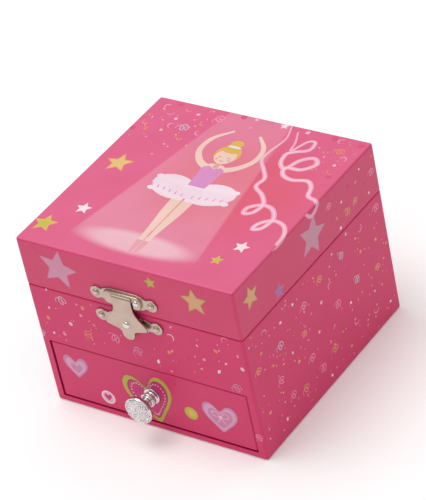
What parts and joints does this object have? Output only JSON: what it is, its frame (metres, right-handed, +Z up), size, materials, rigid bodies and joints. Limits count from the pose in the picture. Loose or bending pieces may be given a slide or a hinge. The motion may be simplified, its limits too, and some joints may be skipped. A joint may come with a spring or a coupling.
{
  "type": "wind-up music box",
  "caption": "Cube-shaped wind-up music box with a hinged latched lid, a mirror, a ring tray, a drawer with a knob and a comb movement that turns a dancer.",
  "frame": {"origin": "middle of the case's underside", "axes": "+Z up, -Y towards the front with the latch and the drawer knob, +X to the right seen from the front"},
  "size_m": [0.11, 0.1354, 0.088],
  "materials": {
    "printed_wrap": "laminated printed paper over board, semi-gloss",
    "inner_lining": "matte coloured paper",
    "satin_pad": "satin over foam",
    "mirror": "polished",
    "nickel": "warm nickel plate, satin",
    "bright_chrome": "polished",
    "glitter_head": "clear plastic with silver glitter",
    "steel": "satin",
    "movement_brass": "satin",
    "cast_metal": "die cast, satin",
    "nylon": "moulded nylon",
    "figure": "painted moulded plastic"
  },
  "bodies": {
    "case": {"base_board": "printed_wrap", "left_wall": "printed_wrap", "right_wall": "printed_wrap", "back_wall": "printed_wrap", "front_panel": "printed_wrap", "shelf_board": "inner_lining", "bay_partition": "inner_lining", "tray_divider": "inner_lining", "ring_pad": "satin_pad", "catch_plate": "nickel", "latch_nail_lower_left": "nickel", "latch_nail_lower_right": "nickel", "hinge_left_case_leaf": "nickel", "hinge_left_pin": "steel", "hinge_right_case_leaf": "nickel", "hinge_right_pin": "steel", "bedplate": "cast_metal", "spring_barrel": "movement_brass", "mainspring": "steel", "comb": "steel", "cylinder_bracket": "cast_metal", "governor_frame": "cast_metal", "spindle_bush": "nylon"},
    "drawer": {"drawer_front": "printed_wrap", "drawer_left": "inner_lining", "drawer_right": "inner_lining", "drawer_back": "inner_lining", "drawer_bottom": "inner_lining", "knob_stem": "bright_chrome", "knob_head": "glitter_head", "knob_screw": "steel"},
    "lid": {"lid_top": "printed_wrap", "lid_front": "printed_wrap", "lid_back": "printed_wrap", "lid_left": "printed_wrap", "lid_right": "printed_wrap", "lid_lining": "inner_lining", "mirror": "mirror", "latch_plate": "nickel", "latch_pin": "steel", "latch_nail_upper_left": "nickel", "latch_nail_upper_right": "nickel", "hinge_left_lid_leaf": "nickel", "hinge_right_lid_leaf": "nickel"},
    "hasp": {"hasp": "nickel"},
    "winder": {"winding_key": "bright_chrome", "winding_arbor": "steel", "crown_wheel": "movement_brass"},
    "cylinder": {"cylinder_drum": "movement_brass", "cylinder_arbor": "steel", "cylinder_wheel": "movement_brass"},
    "governor": {"governor_gear": "nylon"},
    "fly": {"fly_arbor": "steel", "fly_fan": "nylon"},
    "dancer": {"dancer_spindle": "steel", "turntable": "figure", "dancer_spring": "steel", "dancer": "figure"},
    "stop_pin": {"stop_pin": "steel"}
  },
  "joints": [
    {"name": "lid_hinge", "type": "hinge", "parent": "case", "child": "lid", "pos_m": [0, 0.0568, 0.06363], "axis": [-1, 0, 0], "range_deg": [0, 95]},
    {"name": "hasp_hinge", "type": "hinge", "parent": "lid", "child": "hasp", "pos_m": [-0.0023, -0.0565, 0.0712], "axis": [-1, 0, 0], "range_deg": [0, 100]},
    {"name": "drawer_slide", "type": "slide", "parent": "case", "child": "drawer", "axis": [0, -1, 0], "range_m": [0, 0.058]},
    {"name": "winder_turn", "type": "hinge", "parent": "case", "child": "winder", "pos_m": [0, 0.06, 0.025], "axis": [0, 1, 0], "continuous": true},
    {"name": "cylinder_turn", "type": "hinge", "parent": "case", "child": "cylinder", "pos_m": [-0.021, 0.03651, 0.025], "axis": [1, 0, 0], "continuous": true},
    {"name": "governor_turn", "type": "hinge", "parent": "case", "child": "governor", "pos_m": [-0.035, 0.03651, 0.01675], "axis": [1, 0, 0], "continuous": true},
    {"name": "fly_turn", "type": "hinge", "parent": "case", "child": "fly", "pos_m": [-0.03625, 0.04, 0.01125], "axis": [0, 1, 0], "continuous": true},
    {"name": "dancer_turn", "type": "hinge", "parent": "case", "child": "dancer", "pos_m": [0, 0.03578, 0.04], "axis": [0, 0, 1], "continuous": true},
    {"name": "stop_pin_lift", "type": "slide", "parent": "case", "child": "stop_pin", "axis": [0, 0, 1], "range_m": [0, 0.0031]}
  ],
  "couplings": [
    {"joint": "cylinder_turn", "follows": "winder_turn", "ratio": 4},
    {"joint": "governor_turn", "follows": "winder_turn", "ratio": -16},
    {"joint": "fly_turn", "follows": "winder_turn", "ratio": 320},
    {"joint": "dancer_turn", "follows": "winder_turn", "ratio": -3},
    {"joint": "stop_pin_lift", "follows": "lid_hinge", "m_per_rad": 0.0018}
  ]
}
